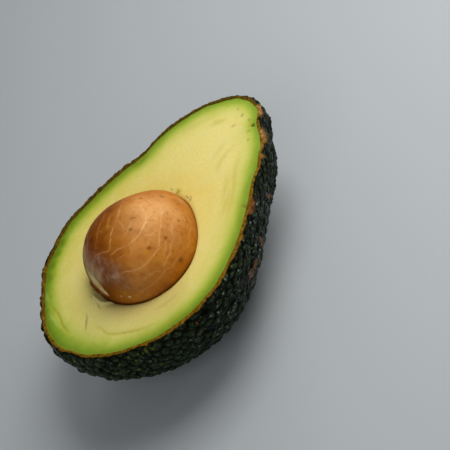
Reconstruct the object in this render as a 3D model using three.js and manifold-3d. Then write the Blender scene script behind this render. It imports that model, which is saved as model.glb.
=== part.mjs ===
import * as THREE from 'three';
import { mergeVertices } from 'three/addons/utils/BufferGeometryUtils.js';
import { ConvexHull } from 'three/addons/math/ConvexHull.js';
import Module from 'manifold-3d';

// Half of a ripe avocado, cut lengthwise, with the seed still in its cavity.
// Millimetres. +X runs to the stem end, +Z is the way the cut face looks.
// Until the last step the cut face lies at height 0, with the fruit below it.

// The outline of the flesh on the cut face
const halfLength = 45.3;
const halfWidth = 30.7;
const outlineCentreX = 0.15;
// how the half width changes from the stem end to the blossom end
const outline = { taper: -0.14, belly: 0.015, shoulder: 0.088, ends: 0.043 };
// how far the two sides differ from each other
const lean = { ends: -1.4, belly: -1.65, neck: 2.66, middle: -0.4 };
// how deep each round section is for its half width
const depth = { middle: 1.01, toStem: 0.015, shoulders: -0.095 };
// how far the belly hangs towards the blossom end and to one side, for each mm of depth
const sag = { endwise: 0.14, sideways: -0.045 };
// places where the even outline is pressed in or swells out, with how far each one spreads
const stemSocket = { at: new THREE.Vector3(40.5, -13, 0), rise: -2.7, spread: 4.5 };
const unevenness = [
  stemSocket,
  { at: new THREE.Vector3(42.5, 8, 0), rise: -1.0, spread: 4 },
  { at: new THREE.Vector3(28, 20, 0), rise: 1.0, spread: 5 },
  { at: new THREE.Vector3(18, 22.5, 0), rise: -1.1, spread: 3.5 },
  { at: new THREE.Vector3(-12, 33, 0), rise: 1.0, spread: 5 },
  { at: new THREE.Vector3(-24.5, 28.5, 0), rise: 1.4, spread: 4.5 },
  { at: new THREE.Vector3(-44.5, -1, 0), rise: -0.4, spread: 3.4 },
  { at: new THREE.Vector3(-32, -25.8, 0), rise: 0.55, spread: 5 },
  { at: new THREE.Vector3(11.7, -28.5, 0), rise: 0.35, spread: 4 },
  { at: new THREE.Vector3(43.5, -9.5, -4), rise: 0.8, spread: 2.5 },
  { at: new THREE.Vector3(38.5, -13, -9), rise: -0.75, spread: 3.5 },
  { at: new THREE.Vector3(33, -14.5, -12.5), rise: 0.8, spread: 4 },
];

// The skin and its pebbles
const skinThickness = 1.15;
const gap = 0.3;
const pebbleSpacing = 3.5;
const pebbleHeight = { low: 0.55, high: 1.05, atSocket: 0.2 };
const pebbleJitter = 0.2;
const restFlatDepth = 1.4;

// The seed: its long axis lies a little off the fruit's, and its stem side is the narrower one
const seedCentre = new THREE.Vector3(-9.85, -3.2, 0);
const seedHalfAxes = new THREE.Vector3(16.8, 17.9, 17.1);
const seedYaw = 0.215;
const seedEgg = 0.055;
const seedTip = 3.0;

// The dished lip of the cavity at the seed's blossom end
const dish = { at: new THREE.Vector3(-25.5, -2.5, 1), halfAxes: new THREE.Vector3(7, 10, 3.6) };

// How many rings and points round each surface has
const fruitFacets = { rows: 46, columns: 36 };
const seedFacets = { rows: 24, columns: 28 };
const dishFacets = { rows: 10, columns: 16 };
const tableSteps = 400;
const smallAngle = 0.001;
const poleMargin = 0.02;
const randomSeed = 11;

function seededRandom(seed) {
  let state = seed;
  return () => {
    state = (state * 1664525 + 1013904223) % 4294967296;
    return state / 4294967296;
  };
}

// y of the outline at an angle: 0 is the stem end, pi the blossom end, the +Y side between them
function outlineY(angle) {
  const c = Math.cos(angle);
  const s = Math.sin(angle);
  const swell = outline.taper * c + outline.belly * Math.cos(2 * angle)
    + outline.shoulder * Math.cos(3 * angle) + outline.ends * Math.cos(4 * angle);
  const shift = lean.belly + lean.neck * c + lean.middle * Math.cos(2 * angle);
  return halfWidth * s * Math.exp(swell) + lean.ends * c + shift * s * s;
}

// The middle line and half width of the round section at one place along the fruit
function section(along) {
  const plus = outlineY(along);
  const minus = outlineY(-along);
  return { middle: (plus + minus) / 2, half: (plus - minus) / 2 };
}

function depthShare(along) {
  return depth.middle + depth.toStem * Math.cos(along) + depth.shoulders * Math.cos(3 * along);
}

function smoothPoint(along, around) {
  const { middle, half } = section(along);
  const height = -depthShare(along) * half * Math.sin(around);
  return new THREE.Vector3(
    outlineCentreX + halfLength * Math.cos(along) + sag.endwise * height,
    middle + half * Math.cos(around) + sag.sideways * height,
    height,
  );
}

function smoothNormal(along, around) {
  const t = THREE.MathUtils.clamp(along, 2 * smallAngle, Math.PI - 2 * smallAngle);
  const lengthwise = smoothPoint(t + smallAngle, around).sub(smoothPoint(t - smallAngle, around));
  const round = smoothPoint(t, around + smallAngle).sub(smoothPoint(t, around - smallAngle));
  return round.cross(lengthwise).normalize();
}

// How much of a place's effect reaches a point, from 1 at its centre down to 0
function reach(point, { at, spread }) {
  return Math.exp(-point.distanceToSquared(at) / (2 * spread * spread));
}

// A point of the flesh's surface, moved out by a distance, with its unevenness
function fruitPoint(along, around, out = 0) {
  const point = smoothPoint(along, around);
  const rise = unevenness.reduce((sum, place) => sum + place.rise * reach(point, place), 0);
  return point.addScaledVector(smoothNormal(along, around), out + rise);
}

// A point of the seed's surface; grow makes the cavity round it
function seedPoint(along, around, grow = 0) {
  const c = Math.cos(along);
  const width = Math.sin(along) * (1 - seedEgg * c);
  const point = new THREE.Vector3(
    (seedHalfAxes.x + grow) * c + seedTip * Math.max(c, 0) ** 4,
    (seedHalfAxes.y + grow) * width * Math.cos(around),
    -(seedHalfAxes.z + grow) * width * Math.sin(around),
  );
  return point.applyAxisAngle(new THREE.Vector3(0, 0, 1), seedYaw).add(seedCentre);
}

function dishPoint(along, around) {
  return new THREE.Vector3(
    Math.cos(along),
    Math.sin(along) * Math.cos(around),
    -Math.sin(along) * Math.sin(around),
  ).multiply(dish.halfAxes).add(dish.at);
}

// A closed surface of rings between two poles, from a function of (along, around)
function ringSurface({ rows, columns }, pointAt) {
  const points = [pointAt(0, 0)];
  for (let row = 1; row < rows; row += 1) {
    for (let column = 0; column < columns; column += 1) {
      points.push(pointAt((Math.PI * row) / rows, (2 * Math.PI * column) / columns));
    }
  }
  points.push(pointAt(Math.PI, 0));
  const last = points.length - 1;
  const index = [];
  const ring = (row, column) => 1 + (row - 1) * columns + (column % columns);
  for (let column = 0; column < columns; column += 1) {
    index.push(0, ring(1, column + 1), ring(1, column));
    for (let row = 1; row < rows - 1; row += 1) {
      index.push(ring(row, column), ring(row, column + 1), ring(row + 1, column + 1));
      index.push(ring(row, column), ring(row + 1, column + 1), ring(row + 1, column));
    }
    index.push(last, ring(rows - 1, column), ring(rows - 1, column + 1));
  }
  return indexedGeometry(points, index);
}

function indexedGeometry(points, index) {
  const geometry = new THREE.BufferGeometry().setFromPoints(points);
  geometry.setIndex(index);
  return geometry;
}

// The surface area of the fruit from the stem end down to each step, for an even spread of pebbles
function areaTable() {
  const table = [0];
  for (let step = 0; step < tableSteps; step += 1) {
    const along = (Math.PI * (step + 0.5)) / tableSteps;
    const width = section(along).half;
    const length = smoothPoint(along + smallAngle, 0).distanceTo(smoothPoint(along - smallAngle, 0));
    const speed = length / (2 * smallAngle);
    table.push(table[step] + (2 * Math.PI * width * speed * Math.PI) / tableSteps);
  }
  return table;
}

// Pebbles follow a golden-angle spiral of equal areas, each nudged so that no rows show
function pebbleCentres() {
  const random = seededRandom(randomSeed);
  const nudge = () => (random() - 0.5) * 2 * pebbleJitter * pebbleSpacing;
  const goldenAngle = Math.PI * (3 - Math.sqrt(5));
  const table = areaTable();
  const total = table[tableSteps];
  const count = Math.round(total / (pebbleSpacing ** 2 * Math.sqrt(0.75)));
  const centres = [];
  let step = 0;
  for (let i = 0; i < count; i += 1) {
    const area = (total * (i + 0.5)) / count;
    while (table[step + 1] < area) step += 1;
    const part = (area - table[step]) / (table[step + 1] - table[step]);
    const along = (Math.PI * (step + part)) / tableSteps + nudge() / halfLength;
    const radius = Math.max(section(along).half, pebbleSpacing);
    const around = i * goldenAngle + nudge() / radius;
    const height = THREE.MathUtils.lerp(pebbleHeight.low, pebbleHeight.high, random());
    centres.push({ along: THREE.MathUtils.clamp(along, poleMargin, Math.PI - poleMargin), around, height });
  }
  return centres;
}

// The pebbles' neighbours, as the triangles that join the centres over the whole fruit
function neighbourTriangles(centres) {
  const rounder = halfWidth / halfLength;
  const directions = centres.map(({ along, around }) => {
    const point = smoothPoint(along, around);
    return point.setX(point.x * rounder).normalize();
  });
  const order = new Map(directions.map((direction, i) => [direction, i]));
  const hull = new ConvexHull().setFromPoints(directions);
  const corners = ({ edge }) => [edge.prev, edge, edge.next].map((side) => order.get(side.head().point));
  return hull.faces.map(corners);
}

// The outside of the skin: each pebble is a low peak inside a ring of valley points
function pebbledSurface() {
  const centres = pebbleCentres();
  const triangles = neighbourTriangles(centres);
  const valleyOut = gap / 2 + skinThickness;
  const peaks = centres.map(({ along, around, height }) => {
    const near = reach(fruitPoint(along, around), stemSocket);
    return fruitPoint(along, around, valleyOut + THREE.MathUtils.lerp(height, pebbleHeight.atSocket, near));
  });
  const feet = centres.map(({ along, around }) => fruitPoint(along, around, valleyOut));
  const valleys = triangles.map(([a, b, c]) => feet[a].clone().add(feet[b]).add(feet[c]).divideScalar(3));
  const faceLeftOf = new Map();
  triangles.forEach(([a, b, c], face) => {
    for (const [from, to] of [[a, b], [b, c], [c, a]]) faceLeftOf.set(from * centres.length + to, face);
  });
  const index = [];
  for (const [edge, left] of faceLeftOf) {
    const from = Math.floor(edge / centres.length);
    const to = edge % centres.length;
    const right = faceLeftOf.get(to * centres.length + from);
    index.push(from, centres.length + right, centres.length + left);
  }
  return indexedGeometry([...peaks, ...valleys], index);
}

const wasm = await Module();
wasm.setup();

function toSolid(geometry) {
  const bare = geometry.clone();
  bare.deleteAttribute('normal');
  bare.deleteAttribute('uv');
  const merged = mergeVertices(bare, 1e-5);
  const mesh = new wasm.Mesh({
    numProp: 3,
    vertProperties: new Float32Array(merged.attributes.position.array),
    triVerts: new Uint32Array(merged.index.array),
  });
  return new wasm.Manifold(mesh);
}

function toGeometry(solid) {
  const { vertProperties, triVerts } = solid.getMesh();
  const geometry = new THREE.BufferGeometry();
  geometry.setAttribute('position', new THREE.BufferAttribute(vertProperties, 3));
  geometry.setIndex(new THREE.BufferAttribute(triVerts, 1));
  const flat = geometry.toNonIndexed();
  flat.computeVertexNormals();
  return flat;
}

// All space between two heights, wide enough for the whole fruit
function slab(low, high) {
  const side = 4 * halfLength;
  const box = new THREE.BoxGeometry(side, side, high - low);
  box.translate(0, 0, (low + high) / 2);
  return toSolid(box);
}

function fruitSurface(out) {
  return ringSurface(fruitFacets, (along, around) => fruitPoint(along, around, out));
}

// The knife cuts at height 0, and a shallow slice under the belly is the spot to rest on
function makeSkin() {
  const outside = pebbledSurface();
  outside.computeBoundingBox();
  const restLevel = outside.boundingBox.min.z + restFlatDepth;
  const shell = toSolid(outside).subtract(toSolid(fruitSurface(gap / 2)));
  return { solid: shell.intersect(slab(restLevel, 0)), restLevel };
}

function makeFlesh() {
  const whole = toSolid(fruitSurface(-gap / 2));
  const cavity = toSolid(ringSurface(seedFacets, (along, around) => seedPoint(along, around, gap)));
  const lip = toSolid(ringSurface(dishFacets, dishPoint));
  return whole.intersect(slab(-2 * halfLength, 0)).subtract(cavity).subtract(lip);
}

function makeSeed() {
  return toSolid(ringSurface(seedFacets, (along, around) => seedPoint(along, around)));
}

function namedMesh(name, solid, colour, roughness) {
  const material = new THREE.MeshStandardMaterial({ color: colour, roughness, metalness: 0 });
  const mesh = new THREE.Mesh(toGeometry(solid), material);
  mesh.name = name;
  return mesh;
}

const skin = makeSkin();
const avocado = new THREE.Group();
avocado.add(namedMesh('skin', skin.solid, '#252d1e', 0.45));
avocado.add(namedMesh('flesh', makeFlesh(), '#d8d37c', 0.5));
avocado.add(namedMesh('seed', makeSeed(), '#a2642c', 0.5));

// The origin is under the middle of the half, on the surface it rests on
const extent = new THREE.Box3().setFromObject(avocado);
const middle = extent.getCenter(new THREE.Vector3());
avocado.position.set(-middle.x, -middle.y, -skin.restLevel);
avocado.updateMatrixWorld(true);

export default avocado;
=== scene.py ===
import math

import bpy
import numpy as np
from mathutils import Matrix, Vector, kdtree


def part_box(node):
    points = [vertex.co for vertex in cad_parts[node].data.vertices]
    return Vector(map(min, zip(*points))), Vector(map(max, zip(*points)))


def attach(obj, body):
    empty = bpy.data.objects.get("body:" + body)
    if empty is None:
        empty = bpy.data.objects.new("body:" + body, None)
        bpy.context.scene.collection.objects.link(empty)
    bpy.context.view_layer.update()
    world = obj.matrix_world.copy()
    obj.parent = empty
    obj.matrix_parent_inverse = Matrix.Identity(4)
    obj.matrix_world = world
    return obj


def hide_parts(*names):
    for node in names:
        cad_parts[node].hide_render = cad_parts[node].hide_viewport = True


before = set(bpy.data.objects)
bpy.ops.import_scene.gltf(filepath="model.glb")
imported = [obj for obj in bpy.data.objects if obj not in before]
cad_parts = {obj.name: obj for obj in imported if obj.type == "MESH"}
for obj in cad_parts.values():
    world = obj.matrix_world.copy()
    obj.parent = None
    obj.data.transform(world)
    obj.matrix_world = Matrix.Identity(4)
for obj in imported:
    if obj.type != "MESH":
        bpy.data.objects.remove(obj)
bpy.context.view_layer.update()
print("frame loaded, nodes:", sorted(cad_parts))

mm = 0.001

# The fruit's own shape in millimetres, with the cut face at height 0 and the stem end at +X
fruit = {
    "halfLength": 45.3,
    "halfWidth": 30.7,
    "centreX": 0.15,
    "taper": -0.14,  # how the half width changes from the stem end to the blossom end
    "belly": 0.015,
    "shoulder": 0.088,
    "ends": 0.043,
    "leanEnds": -1.4,  # how far the two sides differ
    "leanBelly": -1.65,
    "leanNeck": 2.66,
    "leanMiddle": -0.4,
    "depth": 1.01,  # how deep each round section is for its half width
    "depthToStem": 0.015,
    "depthShoulders": -0.095,
    "sagEndwise": 0.14,  # how far the belly hangs over for each mm of depth
    "sagSideways": -0.045,
    # x, y, z, rise and spread of places that swell out or are pressed in
    "unevenness": [
        (40.5, -13, 0, -2.7, 4.5),
        (42.5, 8, 0, -1.0, 4),
        (28, 20, 0, 1.0, 5),
        (18, 22.5, 0, -1.1, 3.5),
        (-12, 33, 0, 1.0, 5),
        (-24.5, 28.5, 0, 1.4, 4.5),
        (-44.5, -1, 0, -0.4, 3.4),
        (-32, -25.8, 0, 0.55, 5),
        (11.7, -28.5, 0, 0.35, 4),
        (43.5, -9.5, -4, 0.8, 2.5),
        (38.5, -13, -9, -0.75, 3.5),
        (33, -14.5, -12.5, 0.8, 4),
    ],
    "gap": 0.3,  # the CAD pieces' clearance, which the fine pieces close
}


def outlineY(angle):
    c = np.cos(angle)
    s = np.sin(angle)
    swell = fruit["taper"] * c + fruit["belly"] * np.cos(2 * angle)
    swell = swell + fruit["shoulder"] * np.cos(3 * angle) + fruit["ends"] * np.cos(4 * angle)
    shift = fruit["leanBelly"] + fruit["leanNeck"] * c + fruit["leanMiddle"] * np.cos(2 * angle)
    return fruit["halfWidth"] * s * np.exp(swell) + fruit["leanEnds"] * c + shift * s * s


def section(along):
    # middle line and half width of the round section
    plus = outlineY(along)
    minus = outlineY(-along)
    return (plus + minus) / 2, (plus - minus) / 2


def depthShare(along):
    share = fruit["depth"] + fruit["depthToStem"] * np.cos(along)
    return share + fruit["depthShoulders"] * np.cos(3 * along)


def smoothPoint(along, around):
    middle, half = section(along)
    z = -half * depthShare(along) * np.sin(around)
    x = fruit["centreX"] + fruit["halfLength"] * np.cos(along) + fruit["sagEndwise"] * z
    y = middle + half * np.cos(around) + fruit["sagSideways"] * z
    return np.stack(np.broadcast_arrays(x, y, z), -1)


def smoothNormal(along, around, step=0.001):
    t = np.clip(along, 2 * step, np.pi - 2 * step)
    lengthwise = smoothPoint(t + step, around) - smoothPoint(t - step, around)
    across = smoothPoint(t, around + step) - smoothPoint(t, around - step)
    normal = np.cross(across, lengthwise)
    return normal / np.linalg.norm(normal, axis=-1, keepdims=True)


def fruitPoint(along, around, out=0.0):
    along, around = np.broadcast_arrays(along, around)
    point = smoothPoint(along, around)
    rise = np.zeros(along.shape)
    for *place, height, spread in fruit["unevenness"]:
        away = np.sum((point - np.array(place)) ** 2, axis=-1)
        rise = rise + height * np.exp(-away / (2 * spread * spread))
    return point + smoothNormal(along, around) * (out + rise)[..., None]


def castToFruit(hub, direction):
    # where rays from the hub leave the even fruit, as its own two angles
    low = np.zeros(direction.shape[:-1])
    high = np.full(direction.shape[:-1], 2.0 * fruit["halfLength"])
    for _ in range(34):
        reach = (low + high) / 2
        p = hub + direction * reach[..., None]
        c = (p[..., 0] - fruit["sagEndwise"] * p[..., 2] - fruit["centreX"]) / fruit["halfLength"]
        along = np.arccos(np.clip(c, -1, 1))
        middle, half = section(along)
        across = p[..., 1] - fruit["sagSideways"] * p[..., 2] - middle
        down = -p[..., 2] / depthShare(along)
        outside = (np.hypot(across, down) > half) | (np.abs(c) > 1)
        high = np.where(outside, reach, high)
        low = np.where(outside, low, reach)
    return along, np.arctan2(np.maximum(down, 0), across)


def pointBelow(hub):
    return fruitPoint(*castToFruit(hub, np.array([[0.0, 0.0, -1.0]])))[0]


# Soft value noise on points, the same on every run
def softNoise(points, size, seed=0):
    p = np.asarray(points, float) / size + 100.0 + 7.13 * seed
    cell = np.floor(p).astype(np.int64)
    part = p - cell
    part = part * part * (3 - 2 * part)
    total = np.zeros(p.shape[:-1])
    for corner in range(8):
        step = np.array([corner & 1, (corner >> 1) & 1, corner >> 2])
        c = cell + step
        mixed = (c[..., 0] * 73856093) ^ (c[..., 1] * 19349663) ^ (c[..., 2] * 83492791)
        mixed = mixed ^ (seed * 2654435)
        mixed = (mixed ^ (mixed >> 13)) * 1274126177 & 0x7FFFFFFF
        mixed = (mixed ^ (mixed >> 16)) & 0xFFFFFF
        weight = np.prod(np.where(step == 1, part, 1 - part), axis=-1)
        total += weight * (mixed / 0xFFFFFF * 2 - 1)
    return total


def softVector(points, size, seed, flat=False):
    # three soft noises as a sway in x, y and z, or in x and y only
    sways = [softNoise(points, size, seed + k) for k in range(2 if flat else 3)]
    if flat:
        sways.append(0 * sways[0])
    return np.stack(sways, -1)


def smoothStep(low, high, value):
    t = np.clip((value - low) / (high - low), 0, 1)
    return t * t * (3 - 2 * t)


# Where the cut face's own origin lies in the frame
fleshLow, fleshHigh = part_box("flesh")
fleshEdge = fruitPoint(np.linspace(0, np.pi, 2001)[:, None], np.array([0.0, np.pi]), -fruit["gap"] / 2)
origin = np.array([
    fleshLow.x / mm - fleshEdge[..., 0].min(),
    fleshHigh.y / mm - fleshEdge[..., 1].max(),
    fleshHigh.z / mm,
])


def toFrame(points):
    return (np.asarray(points) + origin) * mm


# Camera and light first
view = {
    "azimuth": -16.0,  # degrees, seen against the object's own length
    "elevation": 40.0,
    "roll": 45.0,  # the stem end points up to the right in the picture
    "lengthInPicture": 312.0,  # pixels that the flesh's length takes
    "fleshLength": 90.0,  # millimetres
    "distance": 585.0,
    "cutCentre": (157.2, 223.0),  # pixel where the middle of the cut face lands
    "pictureSide": 450.0,
    "sensor": 36.0,
}


def cameraAxes():
    a = math.radians(view["azimuth"])
    e = math.radians(view["elevation"])
    r = math.radians(view["roll"])
    back = np.array([math.sin(a) * math.cos(e), -math.cos(a) * math.cos(e), math.sin(e)])
    level = np.array([math.cos(a), math.sin(a), 0.0])
    up = np.cross(back, level)
    right = math.cos(r) * level - math.sin(r) * up
    return right, np.cross(back, right), back


pictureRight, pictureUp, pictureBack = cameraAxes()
focalPixels = view["lengthInPicture"] * view["distance"] / view["fleshLength"]


def pixelToPlane(px, py, height=0.0):
    # the point of the cut face (or a plane beside it) that lies under a pixel
    x = (px - view["cutCentre"][0]) / focalPixels
    y = (view["cutCentre"][1] - py) / focalPixels
    eye = pictureBack * view["distance"]
    ray = pictureRight * x + pictureUp * y - pictureBack
    return eye + ray * ((height - eye[2]) / ray[2])


def toPicture(points):
    away = view["distance"] - points @ pictureBack
    x = view["cutCentre"][0] + focalPixels * (points @ pictureRight) / away
    y = view["cutCentre"][1] - focalPixels * (points @ pictureUp) / away
    return np.stack([x, y], -1)


def makeCamera():
    data = bpy.data.cameras.new("camera")
    camera = bpy.data.objects.new("camera", data)
    bpy.context.scene.collection.objects.link(camera)
    half = view["pictureSide"] / 2
    perPixel = view["fleshLength"] / view["lengthInPicture"]
    aim = pictureRight * (half - view["cutCentre"][0]) * perPixel
    aim = aim - pictureUp * (half - view["cutCentre"][1]) * perPixel
    back = pictureBack * view["distance"] - aim
    back = back / np.linalg.norm(back)
    right = np.cross(pictureUp, back)
    right = right / np.linalg.norm(right)
    up = np.cross(back, right)
    turn = Matrix([right, up, back]).transposed().to_4x4()
    camera.matrix_world = Matrix.Translation(Vector(toFrame(pictureBack * view["distance"]))) @ turn
    data.sensor_width = view["sensor"]
    data.lens = focalPixels / view["pictureSide"] * view["sensor"]
    data.clip_start = 0.01
    data.clip_end = 20.0
    bpy.context.scene.camera = camera


studio = {
    # place in metres from the cut face's middle, side, power, colour
    "lamps": {
        "keyLight": ((0.19, -0.07, 0.30), 0.23, 1.08, (1.0, 0.985, 0.955)),
        "frontLight": ((-0.30, -0.32, 0.36), 0.40, 0.68, (1.0, 1.0, 1.0)),
        "glintLight": ((0.52, -0.30, 0.16), 0.06, 0.14, (1.0, 1.0, 1.0)),
        "backLight": ((0.38, 0.20, 0.12), 0.14, 0.5, (1.0, 1.0, 1.0)),
    },
    "worldColour": (0.80, 0.84, 0.88),
    "worldStrength": 0.16,
    "floorColour": (0.46, 0.49, 0.51),
    "floorSide": 6.0,
}


def areaLight(name, place, side, power, colour):
    data = bpy.data.lights.new(name, "AREA")
    data.size = side
    data.energy = power
    data.color = colour
    lamp = bpy.data.objects.new(name, data)
    bpy.context.scene.collection.objects.link(lamp)
    target = Vector(toFrame((0, 0, 0)))
    lamp.location = target + Vector(place)
    lamp.rotation_mode = "QUATERNION"
    lamp.rotation_quaternion = Vector(place).to_track_quat("Z", "Y")


def makeStudio():
    for name, lamp in studio["lamps"].items():
        areaLight(name, *lamp)
    world = bpy.data.worlds.new("studio")
    world.use_nodes = True
    background = world.node_tree.nodes["Background"]
    background.inputs["Color"].default_value = (*studio["worldColour"], 1)
    background.inputs["Strength"].default_value = studio["worldStrength"]
    bpy.context.scene.world = world
    bpy.context.scene.view_settings.view_transform = "Standard"
    half = studio["floorSide"] / 2
    mesh = bpy.data.meshes.new("floor")
    corners = [(-half, -half, 0), (half, -half, 0), (half, half, 0), (-half, half, 0)]
    mesh.from_pydata(corners, [], [(0, 1, 2, 3)])
    floor = bpy.data.objects.new("floor", mesh)
    bpy.context.scene.collection.objects.link(floor)
    material = bpy.data.materials.new("paleFloor")
    material.use_nodes = True
    shader = material.node_tree.nodes["Principled BSDF"]
    shader.inputs["Base Color"].default_value = (*studio["floorColour"], 1)
    shader.inputs["Roughness"].default_value = 0.5
    mesh.materials.append(material)


makeCamera()
makeStudio()
print("camera and studio ready")


# Small helpers for materials
def srgb(red, green, blue):
    # a colour given in 0-255, as the linear one that shaders take
    linear = []
    for value in (red, green, blue):
        v = value / 255
        linear.append(v / 12.92 if v <= 0.04045 else ((v + 0.055) / 1.055) ** 2.4)
    return (*linear, 1.0)


def newMaterial(name):
    material = bpy.data.materials.new(name)
    material.use_nodes = True
    return material, material.node_tree


def addNode(tree, kind, **settings):
    node = tree.nodes.new(kind)
    for key, value in settings.items():
        setattr(node, key, value)
    return node


def textureOf(tree, kind, size, **settings):
    # size is in millimetres, here and in the next two
    node = addNode(tree, kind, **settings)
    node.inputs["Scale"].default_value = 1 / (size * mm)
    tree.links.new(addNode(tree, "ShaderNodeTexCoord").outputs["Object"], node.inputs["Vector"])
    return node


def noiseOf(tree, size, detail=3.0, roughness=0.55):
    node = textureOf(tree, "ShaderNodeTexNoise", size)
    node.inputs["Detail"].default_value = detail
    node.inputs["Roughness"].default_value = roughness
    return node.outputs["Fac"]


def cellsOf(tree, size, **settings):
    return textureOf(tree, "ShaderNodeTexVoronoi", size, **settings)


def feed(tree, socket, value):
    # links a socket to another node or to a mask, or sets its number or listed colour
    if isinstance(value, str):
        value = addNode(tree, "ShaderNodeAttribute", attribute_name=value).outputs["Fac"]
    if hasattr(value, "is_linked"):
        tree.links.new(value, socket)
    elif isinstance(value, tuple):
        socket.default_value = srgb(*value)
    else:
        socket.default_value = value


def rampOf(tree, factor, stops):
    node = addNode(tree, "ShaderNodeValToRGB")
    ramp = node.color_ramp
    while len(ramp.elements) < len(stops):
        ramp.elements.new(0.5)
    for element, (place, colour) in zip(ramp.elements, stops):
        element.position = place
        element.color = srgb(*colour)
    tree.links.new(factor, node.inputs["Fac"])
    return node.outputs["Color"]


def mixColour(tree, factor, first, second):
    node = addNode(tree, "ShaderNodeMix", data_type="RGBA")
    feed(tree, node.inputs[0], factor)
    feed(tree, node.inputs[6], first)
    feed(tree, node.inputs[7], second)
    return node.outputs[2]


def mathOf(tree, operation, first, second, clamp=False):
    node = addNode(tree, "ShaderNodeMath", operation=operation, use_clamp=clamp)
    feed(tree, node.inputs[0], first)
    feed(tree, node.inputs[1], second)
    return node.outputs[0]


def productOf(tree, first, *others):
    for other in others:
        first = mathOf(tree, "MULTIPLY", first, other)
    return first


def spanOf(tree, value, low, high, toLow=0.0, toHigh=1.0):
    node = addNode(tree, "ShaderNodeMapRange", clamp=True)
    feed(tree, node.inputs["Value"], value)
    node.inputs["From Min"].default_value = low
    node.inputs["From Max"].default_value = high
    node.inputs["To Min"].default_value = toLow
    node.inputs["To Max"].default_value = toHigh
    return node.outputs["Result"]


def bumpOf(tree, height, strength, distance, normal=None):
    # distance is in millimetres
    node = addNode(tree, "ShaderNodeBump")
    node.inputs["Strength"].default_value = strength
    node.inputs["Distance"].default_value = distance * mm
    tree.links.new(height, node.inputs["Height"])
    if normal is not None:
        tree.links.new(normal, node.inputs["Normal"])
    return node.outputs["Normal"]


def setLook(tree, colour, rough, specular, normal):
    shader = tree.nodes["Principled BSDF"]
    tree.links.new(colour, shader.inputs["Base Color"])
    tree.links.new(rough, shader.inputs["Roughness"])
    tree.links.new(normal, shader.inputs["Normal"])
    shader.inputs["Specular IOR Level"].default_value = specular
    return shader


def makePiece(name, points, faces, masks, material, nodes):
    # a closed mesh in the frame, with its masks as point attributes
    mesh = bpy.data.meshes.new(name)
    flat = toFrame(points).reshape(-1, 3)
    mesh.from_pydata(flat.tolist(), [], faces)
    for maskName, values in masks.items():
        attribute = mesh.attributes.new(maskName, "FLOAT", "POINT")
        attribute.data.foreach_set("value", np.asarray(values, np.float32).ravel())
    mesh.polygons.foreach_set("use_smooth", [True] * len(mesh.polygons))
    mesh.materials.append(material)
    mesh.validate()
    piece = bpy.data.objects.new(name, mesh)
    bpy.context.scene.collection.objects.link(piece)
    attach(piece, "root")
    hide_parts(*nodes)


def ringFaces(rows, columns):
    # quads between rings of points, with a single pole point before and after them
    faces = []
    last = 1 + rows * columns
    for column in range(columns):
        after = (column + 1) % columns
        for row in range(rows - 1):
            a = 1 + row * columns
            faces.append((a + column, a + after, a + columns + after, a + columns + column))
        faces.append((0, 1 + after, 1 + column))
        faces.append((last - columns + column, last - columns + after, last))
    return faces


def routePoints(corners, step):
    # a smooth line through given points, as evenly spaced points
    p = np.array(corners, float)
    p = np.vstack([2 * p[0] - p[1], p, 2 * p[-1] - p[-2]])
    made = []
    for i in range(1, len(p) - 2):
        count = max(2, int(np.linalg.norm(p[i + 1] - p[i]) / step))
        t = np.linspace(0, 1, count, endpoint=False)[:, None]
        a = 2 * p[i]
        b = p[i + 1] - p[i - 1]
        c = 2 * p[i - 1] - 5 * p[i] + 4 * p[i + 1] - p[i + 2]
        d = -p[i - 1] + 3 * p[i] - 3 * p[i + 1] + p[i + 2]
        made.append((a + b * t + c * t ** 2 + d * t ** 3) / 2)
    made.append(p[-2][None])
    return np.vstack(made)


def fadingOf(routes, lines, inset, power):
    # how strongly each point of the lines shows: less towards both ends
    parts = []
    for (strength, _), line in zip(routes, lines):
        parts.append(strength * np.sin(np.linspace(inset, np.pi - inset, len(line))) ** power)
    return np.concatenate(parts)


def treeOf(targets):
    tree = kdtree.KDTree(len(targets))
    for i, target in enumerate(targets):
        tree.insert(target, i)
    tree.balance()
    return tree


def nearestOf(points, targets):
    # distance from each point to the nearest target, and which one it is
    tree = treeOf(targets)
    found = [tree.find(point)[1:] for point in points]
    return np.array([f[1] for f in found]), np.array([f[0] for f in found])


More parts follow.
